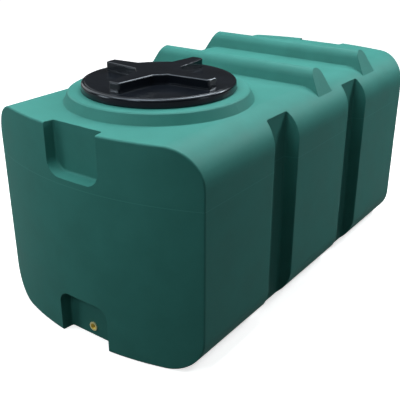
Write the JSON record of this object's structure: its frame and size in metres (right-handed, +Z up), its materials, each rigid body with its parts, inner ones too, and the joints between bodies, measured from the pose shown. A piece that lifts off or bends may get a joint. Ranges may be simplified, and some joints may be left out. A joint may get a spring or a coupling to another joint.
{
  "type": "water tank",
  "caption": "Long low moulded plastic water tank with bowed ends, strap channels, raised deck ribs, a wide black screw lid and a brass outlet insert.",
  "frame": {"origin": "on the floor under the middle of the tank", "axes": "+Z up, long side along Y, outlet end facing -Y"},
  "size_m": [0.75, 1.4298, 0.7353],
  "materials": {
    "tank_plastic": "semi-matt moulded polyethylene, blue-green, very fine grain",
    "lid_plastic": "smooth injection-moulded black",
    "seal_rubber": "soft flat ring",
    "insert_brass": "turned brass"
  },
  "bodies": {
    "tank": {"tank_shell": "tank_plastic", "outlet_insert": "insert_brass"},
    "seal": {"lid_seal": "seal_rubber"},
    "lid": {"screw_lid": "lid_plastic", "lid_plate": "lid_plastic", "lid_grip": "lid_plastic"}
  },
  "joints": [
    {"name": "lid_lift", "type": "slide", "parent": "tank", "child": "seal", "axis": [0, 0, 1], "range_m": [0, 0.016]},
    {"name": "lid_turn", "type": "hinge", "parent": "seal", "child": "lid", "pos_m": [0, -0.342, 0.7], "axis": [0, 0, 1], "range_deg": [0, 720]}
  ],
  "couplings": [
    {"joint": "lid_lift", "follows": "lid_turn", "m_per_rad": 0.001273}
  ]
}
